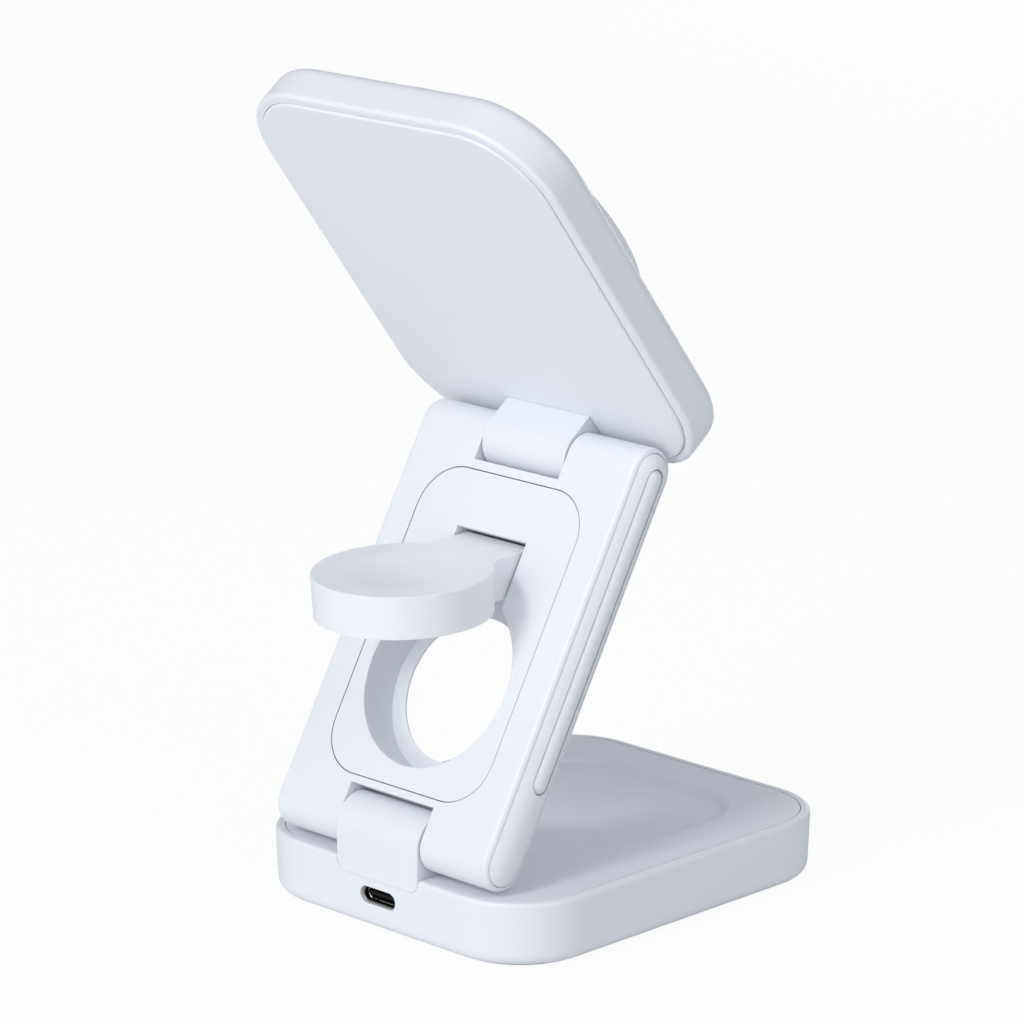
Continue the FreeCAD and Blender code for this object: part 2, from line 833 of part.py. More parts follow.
def watch_ferrite():
    return disc(watch_coil_outer + ferrite_margin, watch_ferrite_top - ferrite_thickness,
                watch_ferrite_top, -watch_reach)


def watch_magnet():
    return disc(watch_magnet_radius, watch_ferrite_top, watch_coil_top, -watch_reach)


def watch_board():
    return disc(watch_coil_outer, watch_cover_top, watch_cover_top + watch_board_thickness, -watch_reach)


# Frame of the head, open to the back under its plate and round in front for the disc
def head_shell():
    body = rounded_plate(head_width, head_length, head_corner, head_front, rim_top, head_middle)
    body = soften(body, head_rim_round, flat_at(rim_top))
    body = soften(body, head_front_round, flat_at(head_front))
    body = body.cut(rounded_plate(head_width - 2 * head_wall, head_length - 2 * head_wall,
                                  head_corner - head_wall, head_inside, rim_top + past, head_middle))
    body = body.cut(rounded_plate(head_width - 2 * head_rim, head_length - 2 * head_rim,
                                  head_corner - head_rim, head_plate_under, rim_top + past, head_middle))
    body = body.cut(disc(disc_seat_radius + disc_seat_gap, head_front - past, head_inside, disc_middle))
    for side in (-1, 1):
        body = body.fuse(disc(knuckle_post_radius, head_inside, -head_foot_depth, 0,
                              side * knuckle_screw_spread))
    return body.cut(foot_room(head_foot_depth, 0)).removeSplitter()


def head_back_plate():
    plate = rounded_plate(head_width - 2 * head_rim - 2 * seam, head_length - 2 * head_rim - 2 * seam,
                          head_corner - head_rim - seam, head_plate_under, plate_top, head_middle)
    plate = soften(plate, head_plate_proud, flat_at(plate_top))
    return plate.cut(foot_room(head_foot_depth, 0))


def head_knuckle():
    return knuckle(head_foot_depth)


# Round cup that stands proud of the head and holds the phone coil
def phone_disc():
    cup = disc(disc_radius, disc_front, head_front, disc_middle)
    cup = soften(cup, disc_edge_round, flat_at(disc_front))
    cup = cup.fuse(disc(disc_seat_radius, head_front, head_inside, disc_middle))
    cup = cup.cut(disc(disc_seat_radius - disc_side_wall, disc_inside, head_inside, disc_middle))
    cup = cup.cut(disc(disc_radius - skin_inset, disc_front - past, disc_front + skin_thickness, disc_middle))
    return cup.removeSplitter()


def phone_disc_skin():
    skin = disc(disc_radius - skin_inset - seam, disc_front, disc_front + skin_thickness, disc_middle)
    return soften(skin, seam_round, flat_at(disc_front))


# Ring of equal arc magnets with a small space between them
def phone_magnets():
    pitch = 360.0 / magnet_count
    whole = ring(magnet_outer, magnet_inner, disc_inside, disc_inside + magnet_height)
    reach = 2 * magnet_outer
    half = math.radians(pitch / 2)
    sector = Part.Face(Part.makePolygon([
        vec(0, 0, disc_inside),
        vec(reach * math.cos(half), -reach * math.sin(half), disc_inside),
        vec(reach * math.cos(half), reach * math.sin(half), disc_inside),
        vec(0, 0, disc_inside),
    ])).extrude(vec(0, 0, magnet_height))
    sector.translate(vec(magnet_spacing / 2 / math.sin(half), 0, 0))
    block = whole.common(sector)
    magnets = []
    for index in range(magnet_count):
        magnet = block.copy()
        magnet.rotate(vec(0, 0, 0), vec(0, 0, 1), index * pitch)
        magnet.translate(vec(0, disc_middle, 0))
        magnets.append(magnet)
    return magnets


def phone_coil():
    return ring(phone_coil_outer, phone_coil_inner, disc_inside, coil_top_phone, disc_middle)


def phone_ferrite():
    return disc(phone_coil_outer + ferrite_margin, coil_top_phone, coil_top_phone + ferrite_thickness,
                disc_middle)


def head_board():
    middle = head_board_low + head_board_length / 2
    return rounded_plate(head_board_width, head_board_length, board_corner, head_inside,
                         head_inside + board_thickness, middle)


def head_chips():
    middle = head_board_low + head_board_length / 2
    top = head_inside + board_thickness
    return chip_row(chip_size, chip_height, chip_pitch, head_chip_count, top, middle)


def as_list(shape):
    return shape if isinstance(shape, list) else [shape]


def save(name, shapes, place=None):
    solids = []
    for shape in as_list(shapes):
        moved = place(shape) if place else shape
        solids.extend(moved.Solids)
    whole = solids[0] if len(solids) == 1 else Part.makeCompound(solids)
    whole.exportStep("parts/" + name + ".step")


base_pieces = {
    "base_shell": base_shell,
    "base_top_plate": base_top_plate,
    "base_foot_pad": base_foot_pad,
    "base_screws": base_screws,
    "base_knuckle": base_knuckle,
    "knuckle_screws": knuckle_screws,
    "counterweight": counterweight,
    "main_board": main_board,
    "board_chips": board_chips,
    "board_inductors": board_inductors,
    "usb_socket": usb_socket,
    "usb_tongue": usb_tongue,
    "earbud_coil": earbud_coil,
    "earbud_ferrite": earbud_ferrite,
}
arm_pieces = {
    "arm_shell": arm_shell,
    "arm_front_plate": arm_front_plate,
    "arm_rear_cover": arm_rear_cover,
    "lower_friction_clips": friction_clips,
    "watch_pin": watch_pin,
}
head_pieces = {
    "head_shell": head_shell,
    "head_back_plate": head_back_plate,
    "head_knuckle": head_knuckle,
    "upper_hinge_shaft": hinge_shaft,
    "phone_disc": phone_disc,
    "phone_disc_skin": phone_disc_skin,
    "phone_magnets": phone_magnets,
    "phone_coil": phone_coil,
    "phone_ferrite": phone_ferrite,
    "head_board": head_board,
    "head_chips": head_chips,
}
watch_pieces = {
    "watch_body": watch_body,
    "watch_rear_cover": watch_rear_cover,
    "watch_coil": watch_coil,
    "watch_ferrite": watch_ferrite,
    "watch_magnet": watch_magnet,
    "watch_board": watch_board,
}


def main():
    os.makedirs("parts", exist_ok=True)
    for name, make in base_pieces.items():
        save(name, make())
    save("lower_hinge_shaft", placed(hinge_shaft(), 0, hinge_origin))
    for name, make in arm_pieces.items():
        save(name, make(), in_arm)
    save("upper_friction_clips", [placed(clip, 0, vec(0, arm_reach, 0)) for clip in friction_clips()], in_arm)
    for side, turn in (("right", lambda shape: shape), ("left", mirrored)):
        save("side_cap_" + side, turn(side_cap()), in_arm)
        save("side_bar_" + side, turn(side_bar()), in_arm)
    for name, make in head_pieces.items():
        save(name, make(), in_head)
    for name, make in watch_pieces.items():
        save(name, make(), in_watch)


main()
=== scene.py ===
from math import cos, pi, radians, sin, tau

import bmesh
import bpy
from mathutils import Matrix, Vector


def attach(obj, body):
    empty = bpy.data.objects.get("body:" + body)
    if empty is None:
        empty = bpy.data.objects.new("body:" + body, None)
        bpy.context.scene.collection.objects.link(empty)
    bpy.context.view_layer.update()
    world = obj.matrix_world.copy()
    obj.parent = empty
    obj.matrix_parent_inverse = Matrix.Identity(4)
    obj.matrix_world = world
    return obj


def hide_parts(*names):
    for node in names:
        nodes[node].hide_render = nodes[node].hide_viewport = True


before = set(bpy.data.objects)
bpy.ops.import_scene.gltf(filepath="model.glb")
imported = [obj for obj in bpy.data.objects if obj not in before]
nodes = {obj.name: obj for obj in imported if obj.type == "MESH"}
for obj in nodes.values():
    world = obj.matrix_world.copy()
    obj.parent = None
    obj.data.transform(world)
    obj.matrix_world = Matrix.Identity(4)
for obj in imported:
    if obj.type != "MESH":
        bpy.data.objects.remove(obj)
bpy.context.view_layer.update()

millimetre = 0.001
micron = 1e-6


def shifted(x, y, z):
    return Matrix.Translation((x, y, z))


# Turns about X and shifts a drawing in millimetres to its place on the open charger
def seat(angle, y, z):
    return Matrix.Scale(millimetre, 4) @ shifted(0, y, z) @ Matrix.Rotation(radians(angle), 4, "X")


# Lean about X, and Y and Z of the hinge or pin that each part is drawn about
seats = {
    "base": seat(0, 0, 0),
    "head": seat(127, -0.45, 83.302),
    "watch": seat(2.3, -12.2995, 64.2779),
}

# Places on the charger that the finishes and the small hardware keep to
arm_lean = 60.0
arm_cover_middle = 34.216
port_front = -42.6
port_level = 6.85
port_step = port_front + 1.2
hinge_y = -37.95
knuckle_screw_x = 7.7
base_screw_x = 24.9
base_screw_front, base_screw_back = -30.4, 29.4
screw_seat = 1.6
board_top = 5.3
head_board_top = -12.1
puck_board_top = -1.85
disc_inside = -16.6
earbud_middle = 12.2
phone_middle = 43.7
puck_middle = -24.0


# Shader sums are written as plain expressions on sockets
class Wire:
    def __init__(self, finish, socket):
        self.finish = finish
        self.socket = socket

    def __add__(self, other):
        return self.finish.sum("ADD", self, other)

    def __sub__(self, other):
        return self.finish.sum("SUBTRACT", self, other)

    def __rsub__(self, other):
        return self.finish.sum("SUBTRACT", other, self)

    def __mul__(self, other):
        return self.finish.sum("MULTIPLY", self, other)

    __radd__ = __add__
    __rmul__ = __mul__


# One finish of the charger, made of nodes, with its pattern measured in millimetres
class Finish:
    def __init__(self, name, metallic=0.0):
        self.material = bpy.data.materials.new(name)
        self.material.use_nodes = True
        self.tree = self.material.node_tree
        self.shader = self.tree.nodes["Principled BSDF"]
        self.give("Metallic", metallic)
        spot = self.node("ShaderNodeTexCoord", output="Object")
        self.spot = self.stretched(spot, (1 / millimetre, 1 / millimetre, 1 / millimetre))

    def node(self, kind, settings=None, sockets=None, output=0):
        made = self.tree.nodes.new(kind)
        for key, value in (settings or {}).items():
            setattr(made, key, value)
        for key, value in (sockets or {}).items():
            self.feed(made.inputs[key], value)
        return Wire(self, made.outputs[output])

    def feed(self, socket, value):
        if isinstance(value, Wire):
            self.tree.links.new(value.socket, socket)
        else:
            socket.default_value = value

    def give(self, name, value):
        self.feed(self.shader.inputs[name], value)

    def sum(self, kind, first, second=0.0):
        return self.node("ShaderNodeMath", {"operation": kind}, {0: first, 1: second})

    def stretched(self, vector, factors):
        return self.node("ShaderNodeVectorMath", {"operation": "MULTIPLY"}, {0: vector, 1: factors})

    def axis(self, name, vector=None):
        return self.node("ShaderNodeSeparateXYZ", sockets={0: vector or self.spot}, output=name)

    def grain(self, size, detail=2.0, vector=None):
        return self.node("ShaderNodeTexNoise", sockets={
            "Vector": vector or self.spot, "Scale": 1.0 / size, "Detail": detail})

    def cells(self, size, output="Distance"):
        return self.node("ShaderNodeTexVoronoi", sockets={
            "Vector": self.spot, "Scale": 1.0 / size}, output=output)

    # Rises softly from 0 to 1 between two values
    def span(self, value, low, high):
        return self.node("ShaderNodeMapRange", {"interpolation_type": "SMOOTHSTEP"}, {
            "Value": value, "From Min": low, "From Max": high})

    def mix(self, factor, first, second):
        return self.node("ShaderNodeMix", {"data_type": "RGBA"}, {0: factor, 6: first, 7: second}, 2)

    # Relief of the skin from a height in microns
    def relief(self, height):
        self.give("Normal", self.node("ShaderNodeBump", sockets={
            "Strength": 1.0, "Distance": micron, "Height": height}))


def tint(red, green, blue):
    return (red, green, blue, 1.0)


def darker(colour, share):
    return tint(*(part * share for part in colour[:3]))


# Painted shade in the joint round a let-in cover with straight sides and round corners
def painted_joint_shade(finish, along, half_across, half_along, corner):
    clean_to, full_from = corner - 0.13, corner - 0.04
    beyond = []
    for way, half in ((finish.axis("X"), half_across), (along, half_along)):
        past_corner = finish.sum("ABSOLUTE", way) - (half - corner)
        beyond.append(finish.sum("MAXIMUM", past_corner, 0.0))
    out = finish.sum("SQRT", beyond[0] * beyond[0] + beyond[1] * beyond[1])
    return finish.span(out, clean_to, full_from)


# Mask of painted shade along the joint round the arm's let-in cover
def arm_cover_seam_shade(finish):
    up_arm = (finish.axis("Y") * cos(radians(arm_lean))
              + finish.axis("Z") * sin(radians(arm_lean)))
    return painted_joint_shade(finish, up_arm - arm_cover_middle, half_across=20.38, half_along=30.08,
                     corner=8.88)


# Mask of painted shade along the joint round the base's let-in top cover
def base_cover_seam_shade(finish):
    return painted_joint_shade(finish, finish.axis("Y"), half_across=34.98, half_along=41.48, corner=14.08)


# Moulded white plastic: a fine sparked skin, faint flow clouds and slow sink waves,
# and where a seam mask is given, painted shade that darkens the joint
def moulded_white(name, colour, roughness, spark, depth, seam_shade=None):
    finish = Finish(name)
    clouds = finish.grain(26.0, 3.0)
    flecks = finish.grain(0.9)
    skin = finish.grain(spark, 3.0)
    waves = finish.grain(34.0, 1.0)
    base = finish.mix(clouds * 0.7 + flecks * 0.3, darker(colour, 0.975), colour)
    if seam_shade:
        # Painted shade: the joint is darkened towards 0.42 of the white
        base = finish.mix(seam_shade(finish) * (0.8 + 0.4 * clouds), base, darker(colour, 0.42))
    finish.give("Base Color", base)
    finish.give("Roughness", roughness + 0.10 * (clouds - 0.5) + 0.14 * (skin - 0.5))
    finish.give("IOR", 1.48)
    finish.relief(skin * depth + waves * 60.0 + flecks * 0.6)
    return finish.material


# Soft silicone: matt, with a fine skin, a faint bloom and a few fainter specks
def silicone(name, colour, roughness, spark):
    finish = Finish(name)
    bloom = finish.grain(9.0, 4.0)
    skin = finish.grain(spark, 4.0)
    off_speck = finish.span(finish.cells(2.6), 0.05, 0.11)
    base = finish.mix(bloom, darker(colour, 0.93), colour)
    finish.give("Base Color", finish.mix(off_speck, darker(colour, 0.94), base))
    finish.give("Roughness", roughness + 0.14 * (bloom - 0.5))
    finish.give("Sheen Weight", 0.12)
    finish.relief(skin * 22.0 + off_speck * 4.0)
    return finish.material


# Bare metal with its working marks drawn out along or around the piece
def worked_metal(name, colour, roughness, marks, depth=4.0, stain=0.82):
    finish = Finish(name, metallic=1.0)
    lines = finish.grain(1.0, 3.0, finish.stretched(finish.spot, marks))
    patches = finish.grain(4.5, 3.0)
    off_pit = finish.span(finish.cells(0.9), 0.04, 0.16)
    worn = patches * 0.5 + lines * 0.5
    finish.give("Base Color", finish.mix(worn, darker(colour, stain), colour))
    finish.give("Roughness", roughness + 0.22 * (lines - 0.5) + 0.10 * (patches - 0.5))
    finish.relief(lines * depth + off_pit * 1.5)
    return finish.material


# Copper strands laid side by side, twisted as they run round the coil
def stranded_copper(name, middle_y, pitch):
    finish = Finish(name, metallic=1.0)
    strands_round = 60.0
    x = finish.axis("X")
    y = finish.axis("Y") - middle_y
    turn = finish.sum("ARCTAN2", y, x)
    out = finish.sum("SQRT", x * x + y * y)
    lay = finish.sum("SINE", turn * strands_round + out * (tau / pitch))
    patches = finish.grain(3.0, 3.0)
    finish.give("Base Color", finish.mix(
        0.5 + 0.3 * lay + 0.4 * (patches - 0.5), tint(0.50, 0.20, 0.09), tint(0.86, 0.45, 0.24)))
    finish.give("Roughness", 0.32 + 0.08 * lay + 0.12 * (patches - 0.5))
    finish.give("Coat Roughness", 0.12)
    finish.give("Coat Weight", 0.4)
    finish.relief(lay * 30.0 + patches * 8.0)
    return finish.material


# Socket steel: brown at the mouth, painted dark deeper in as painted shade, with a painted glint in
# a broken band at its step
def socket_steel(name):
    finish = Finish(name, metallic=1.0)
    draw = finish.grain(0.5, 3.0, finish.stretched(finish.spot, (1.0, 0.2, 1.0)))
    y = finish.axis("Y")
    before_step = finish.span(y, port_step - 0.12, port_step - 0.02)
    past_step = finish.span(y, port_step + 0.1, port_step + 0.2)
    # Painted glint: a bright band at the step, broken up by noise
    painted_step_glint = before_step * (1.0 - past_step) * finish.span(finish.grain(0.55, 1.0), 0.42, 0.58)
    lip = 1.0 - finish.span(y, port_step - 1.2, port_step - 0.95)
    # Painted shade: the steel inside the port is near black
    painted_dark_steel = finish.mix(draw, tint(0.050, 0.042, 0.038), tint(0.115, 0.098, 0.090))
    painted_dark_steel = finish.mix(lip, painted_dark_steel, tint(0.36, 0.30, 0.28))
    finish.give("Base Color", finish.mix(painted_step_glint, painted_dark_steel, tint(0.90, 0.90, 0.92)))
    finish.give("Roughness", 0.42 + 0.12 * (draw - 0.5) - 0.24 * painted_step_glint)
    finish.relief(draw * 1.5)
    return finish.material


# Black tongue of the socket: matt, with a fine glass-filled grain
def tongue_black(name):
    finish = Finish(name)
    fill = finish.grain(0.15, 3.0)
    finish.give("Base Color", finish.mix(fill, tint(0.004, 0.004, 0.004), tint(0.010, 0.010, 0.011)))
    finish.give("Roughness", 0.66 + 0.2 * (fill - 0.5))
    finish.give("Specular IOR Level", 0.25)
    finish.relief(fill * 4.0)
    return finish.material


# Pressed ferrite: dark, dusty and full of small pores
def pressed_ferrite(name):
    finish = Finish(name)
    off_pore = finish.span(finish.cells(0.55), 0.06, 0.24)
    dust = finish.grain(3.4, 5.0)
    base = finish.mix(dust, tint(0.022, 0.022, 0.024), tint(0.062, 0.061, 0.064))
    finish.give("Base Color", finish.mix(off_pore, tint(0.010, 0.010, 0.011), base))
    finish.give("Roughness", 0.62 + 0.2 * (dust - 0.5))
    finish.relief(off_pore * 12.0 + dust * 10.0)
    return finish.material


# Circuit board: green mask over copper tracks, with tinned vias
def circuit_board(name):
    finish = Finish(name)
    half_pitch = 0.4
    patch = finish.cells(5.5, "Color")
    lengthwise = finish.span(finish.axis("X", patch), 0.48, 0.52)
    across = finish.sum("PINGPONG", finish.axis("X"), half_pitch)
    along = finish.sum("PINGPONG", finish.axis("Y"), half_pitch)
    track = finish.span(across * lengthwise + along * (1.0 - lengthwise), 0.16, 0.22)
    track = track * finish.span(finish.axis("Y", patch), 0.25, 0.3)
    via = 1.0 - finish.span(finish.cells(2.4), 0.09, 0.12)
    weave = finish.grain(0.35, 1.0)
    mask = finish.mix(track, tint(0.008, 0.085, 0.030), tint(0.018, 0.200, 0.070))
    finish.give("Base Color", finish.mix(via, mask, tint(0.70, 0.66, 0.56)))
    finish.give("Roughness", 0.34 + 0.12 * (weave - 0.5) - 0.06 * via)
    finish.give("Metallic", via)
    finish.relief(track * 20.0 + weave * 3.0 + via * 18.0)
    return finish.material


# Moulded black chip bodies
def moulded_black(name):
    finish = Finish(name)
    skin = finish.grain(0.12, 3.0)
    haze = finish.grain(1.8)
    finish.give("Base Color", finish.mix(haze, tint(0.010, 0.010, 0.011), tint(0.028, 0.028, 0.030)))
    finish.give("Roughness", 0.52 + 0.25 * (skin - 0.5))
    finish.relief(skin * 9.0)
    return finish.material


# Small ceramic bodies on the boards, in two shades
def fired_ceramic(name):
    finish = Finish(name)
    fired = finish.grain(0.8, 3.0)
    finish.give("Base Color", finish.mix(fired, tint(0.20, 0.115, 0.055), tint(0.36, 0.23, 0.12)))
    finish.give("Roughness", 0.48 + 0.2 * (fired - 0.5))
    finish.relief(fired * 5.0)
    return finish.material


shell_white = tint(0.800, 0.822, 0.862)
# Painted shade: the base cover takes a darker copy of the shell white
shaded_cover_white = tint(0.780, 0.786, 0.845)
puck_white = tint(0.828, 0.846, 0.878)
finishes = {
    "white_shell": moulded_white("satin_white_shell", shell_white, 0.40, 0.30, 3.2),
    "white_plate": moulded_white("smooth_white_cover", shell_white, 0.36, 0.22, 2.0),
    # The arm inlay and base cover finishes carry painted shade in their joints
    "white_inlay": moulded_white("smooth_white_inlay", shell_white, 0.36, 0.22, 2.0,
                                 arm_cover_seam_shade),
    "white_table": moulded_white("smooth_white_base_cover", shaded_cover_white, 0.36, 0.24, 2.2,
                                 base_cover_seam_shade),
    "white_puck": moulded_white("satin_white_puck", puck_white, 0.38, 0.26, 2.4),
    "charging_skin": silicone("soft_white_skin", tint(0.76, 0.78, 0.81), 0.66, 0.35),
    "foot_rubber": silicone("pale_foot_silicone", tint(0.60, 0.61, 0.64), 0.78, 0.5),
    "steel": worked_metal("turned_shaft_steel", tint(0.60, 0.60, 0.61), 0.28, (9.0, 0.6, 0.6)),
    "spring_steel": worked_metal("blued_spring_steel", tint(0.42, 0.42, 0.45), 0.36,
                                 (0.6, 3.0, 3.0)),
    "weight_steel": worked_metal("rolled_plate_steel", tint(0.50, 0.50, 0.50), 0.46,
                                 (0.25, 5.0, 1.0), depth=7.0, stain=0.7),
    "screw_steel": worked_metal("zinc_screw_steel", tint(0.66, 0.66, 0.67), 0.32, (2.0, 2.0, 7.0)),
    "socket_metal": socket_steel("drawn_socket_steel"),
    "socket_black": tongue_black("socket_tongue_black"),
    "contact_gold": worked_metal("gold_contacts", tint(0.93, 0.68, 0.30), 0.24, (3.0, 1.0, 3.0),
                                 depth=1.5),
    "tin": worked_metal("tinned_leads", tint(0.72, 0.72, 0.71), 0.34, (2.0, 2.0, 2.0), depth=5.0),
    "circuit_green": circuit_board("green_circuit_board"),
    "chip_black": moulded_black("black_chip_body"),
    "ceramic": fired_ceramic("fired_ceramic"),
    "ferrite_grey": pressed_ferrite("pressed_ferrite"),
    "earbud_copper": stranded_copper("earbud_coil_copper", earbud_middle, 1.06),
    "phone_copper": stranded_copper("phone_coil_copper", 0.0, 1.05),
    "watch_copper": stranded_copper("watch_coil_copper", 0.0, 1.08),
    "magnet_nickel": worked_metal("nickel_magnet_skin", tint(0.66, 0.65, 0.63), 0.18,
                                  (0.8, 0.8, 0.8), depth=2.0, stain=0.9),
}

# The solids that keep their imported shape, by the finish that each takes
kept = {
    "white_shell": ["base_shell", "base_knuckle", "arm_shell", "side_bar_left", "side_bar_right",
                    "head_shell", "head_knuckle"],
    "white_plate": ["side_cap_left", "side_cap_right", "head_back_plate", "phone_disc"],
    "white_inlay": ["arm_front_plate", "arm_rear_cover"],
    "white_table": ["base_top_plate"],
    "white_puck": ["watch_body", "watch_rear_cover"],
    "charging_skin": ["phone_disc_skin"],
    "foot_rubber": ["base_foot_pad"],
    "steel": ["lower_hinge_shaft", "upper_hinge_shaft", "watch_pin"],
    "spring_steel": ["lower_friction_clips", "upper_friction_clips"],
    "weight_steel": ["counterweight"],
    "circuit_green": ["main_board", "head_board", "watch_board"],
    "ferrite_grey": ["earbud_ferrite", "phone_ferrite", "watch_ferrite"],
}
for finish_name, members in kept.items():
    for member in members:
        coats = nodes[member].data.materials
        coats.clear()
        coats.append(finishes[finish_name])


# Turns a drawn shape into a piece that rides with a part of the charger
def piece(name, bm, body, slot, stands_for=(), finish_name=None, crease=35.0):
    bm.transform(seats[body])
    bmesh.ops.recalc_face_normals(bm, faces=bm.faces)
    mesh = bpy.data.meshes.new(name)
    bm.to_mesh(mesh)
    bm.free()
    mesh.shade_smooth()
    mesh.set_sharp_from_angle(angle=radians(crease))
    mesh.materials.append(finishes[finish_name or slot])
    obj = bpy.data.objects.new(name, mesh)
    bpy.context.scene.collection.objects.link(obj)
    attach(obj, body)
    if stands_for:
        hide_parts(*stands_for)


# Copies one drawn shape to several places in a new drawing
def copies(pattern, places):
    mesh = bpy.data.meshes.new("pattern")
    pattern.to_mesh(mesh)
    pattern.free()
    bm = bmesh.new()
    for place in places:
        before = len(bm.verts)
        bm.from_mesh(mesh)
        bm.verts.ensure_lookup_table()
        bmesh.ops.transform(bm, matrix=place, verts=bm.verts[before:])
    bpy.data.meshes.remove(mesh)
    return bm


# Places side by side along X, about the middle
def row(count, pitch, y, level):
    return [shifted((index - (count - 1) / 2) * pitch, y, level) for index in range(count)]


# Solid of revolution about Z from an outline of radius and height
def lathe(outline, steps=48):
    bm = bmesh.new()
    points = [bm.verts.new((radius, 0, height)) for radius, height in outline]
    edges = [bm.edges.new(pair) for pair in zip(points, points[1:])]
    bmesh.ops.spin(bm, geom=points + edges, axis=(0, 0, 1), angle=tau, steps=steps, use_merge=True)
    bmesh.ops.remove_doubles(bm, verts=bm.verts, dist=1e-4)
    return bm


# Breaks edges with a round bevel
def soften(bm, edges, width, segments):
    bmesh.ops.bevel(bm, geom=list(edges), offset=width, offset_type="OFFSET", segments=segments,
                    profile=0.5, affect="EDGES", material=-1)


# Block with softened edges, added to a drawing
def block(bm, low, high, soft, segments=2):
    size = Vector(high) - Vector(low)
    middle = (Vector(high) + Vector(low)) / 2
    made = bmesh.ops.create_cube(bm, size=1.0)["verts"]
    bmesh.ops.transform(bm, matrix=shifted(*middle) @ Matrix.Diagonal((*size, 1.0)), verts=made)
    soften(bm, {edge for vert in made for edge in vert.link_edges}, soft, segments)


# Cuts one drawn shape out of another
def carved(bm, cutter):
    objects = []
    for drawing in (bm, cutter):
        bmesh.ops.recalc_face_normals(drawing, faces=drawing.faces)
        mesh = bpy.data.meshes.new("blank")
        drawing.to_mesh(mesh)
        drawing.free()
        objects.append(bpy.data.objects.new("blank", mesh))
        bpy.context.scene.collection.objects.link(objects[-1])
    cut = objects[0].modifiers.new("cut", "BOOLEAN")
    cut.object = objects[1]
    cut.operation = "DIFFERENCE"
    cut.solver = "EXACT"
    result = bmesh.new()
    result.from_object(objects[0], bpy.context.evaluated_depsgraph_get())
    for obj in objects:
        mesh = obj.data
        bpy.data.objects.remove(obj)
        bpy.data.meshes.remove(mesh)
    return result


# Pan-head screw standing on its head, with a cross recess and a rolled thread
def screw_shape(length):
    head, shank, core, height = 1.9, 0.95, 0.76, 0.8
    thread_pitch, smooth_end, steps_round = 0.5, 1.5, 24
    body = lathe([(0, -height), (0.9, -height), (1.5, -height + 0.12), (1.82, -height + 0.38),
                  (head, -0.16), (head, -0.04), (head - 0.06, 0), (core + 0.12, 0), (core, 0.14),
                  (core, length - 0.7), (core * 0.75, length - 0.18), (0.25, length), (0, length)])
    cross = bmesh.new()
    for turn in (0, 90):
        blade = bmesh.ops.create_cone(cross, cap_ends=True, segments=4, radius1=0.34, radius2=0.16,
                                      depth=0.62)["verts"]
        shape = (Matrix.Rotation(radians(turn), 4, "Z") @ shifted(0, 0, -height + 0.26)
                 @ Matrix.Diagonal((3.6, 0.9, 1.0, 1.0)) @ Matrix.Rotation(radians(45), 4, "Z"))
        bmesh.ops.transform(cross, matrix=shape, verts=blade)
    body = carved(body, cross)
    ridge = [body.verts.new(spot) for spot in (
        (core - 0.05, 0, 0.30), (shank, 0, 0.46), (shank, 0, 0.50), (core - 0.05, 0, 0.66))]
    outline = [body.edges.new((ridge[i], ridge[(i + 1) % 4])) for i in range(4)]
    end = body.faces.new(ridge)
    turns = int((length - smooth_end) / thread_pitch)
    bmesh.ops.spin(body, geom=ridge + outline + [end], axis=(0, 0, 1), angle=tau * turns,
                   steps=steps_round * turns, dvec=(0, 0, thread_pitch / steps_round))
    return body


closing = [shifted(x, y, screw_seat) for x in (-base_screw_x, base_screw_x)
           for y in (base_screw_front, base_screw_back)]
holding = [shifted(x, hinge_y, screw_seat) for x in (-knuckle_screw_x, knuckle_screw_x)]
piece("cross_head_base_screws", copies(screw_shape(8.0), closing), "base", "screw_steel",
      ["base_screws"])
piece("cross_head_knuckle_screws", copies(screw_shape(11.4), holding), "base", "screw_steel",
      ["knuckle_screws"])


# One ring of the socket's outline: two half rounds joined by straight runs
def socket_ring(bm, radius, y):
    half_run, segments = 2.92, 40
    made = bmesh.ops.create_circle(bm, segments=segments, radius=radius)["verts"]
    bmesh.ops.rotate(bm, verts=made, matrix=Matrix.Rotation(pi / segments, 3, "Z"))
    for vert in made:
        vert.co.x += half_run if vert.co.x > 0 else -half_run
    upright = Matrix.Rotation(pi / 2, 4, "X")
    bmesh.ops.transform(bm, matrix=shifted(0, y, port_level) @ upright, verts=made)
    return list({edge for vert in made for edge in vert.link_edges})


# Drawn shell: from its closed back along the outside, round the mouth and in past a step
def socket_shell():
    bm = bmesh.new()
    front, back, radius = port_front, port_front + 7.3, 1.55
    walls = [(radius - 0.25, back), (radius - 0.06, back - 0.06), (radius, back - 0.25),
             (radius, front + 0.14), (radius - 0.05, front + 0.03), (radius - 0.12, front),
             (radius - 0.21, front + 0.04), (radius - 0.29, front + 0.16),
             (radius - 0.30, front + 0.5), (radius - 0.30, front + 1.10),
             (radius - 0.31, front + 1.14), (radius - 0.34, front + 1.17),
             (radius - 0.38, front + 1.20), (radius - 0.41, front + 1.24),
             (radius - 0.42, front + 1.30), (radius - 0.42, back - 0.5),
             (radius - 0.52, back - 0.32), (radius - 0.7, back - 0.30)]
    rings = [socket_ring(bm, size, y) for size, y in walls]
    for near, far in zip(rings, rings[1:]):
        bmesh.ops.bridge_loops(bm, edges=near + far)
    bmesh.ops.holes_fill(bm, edges=rings[0] + rings[-1], sides=0)
    return bm


def contact_tongue():
    bm = bmesh.new()
    half_width, half_blade, half_root = 3.35, 0.33, 0.8
    block(bm, (-half_width, port_front + 0.8, port_level - half_blade),
          (half_width, port_front + 6.8, port_level + half_blade), 0.12)
    block(bm, (-half_width, port_front + 5.1, port_level - half_root),
          (half_width, port_front + 7.0, port_level + half_root), 0.15)
    return bm


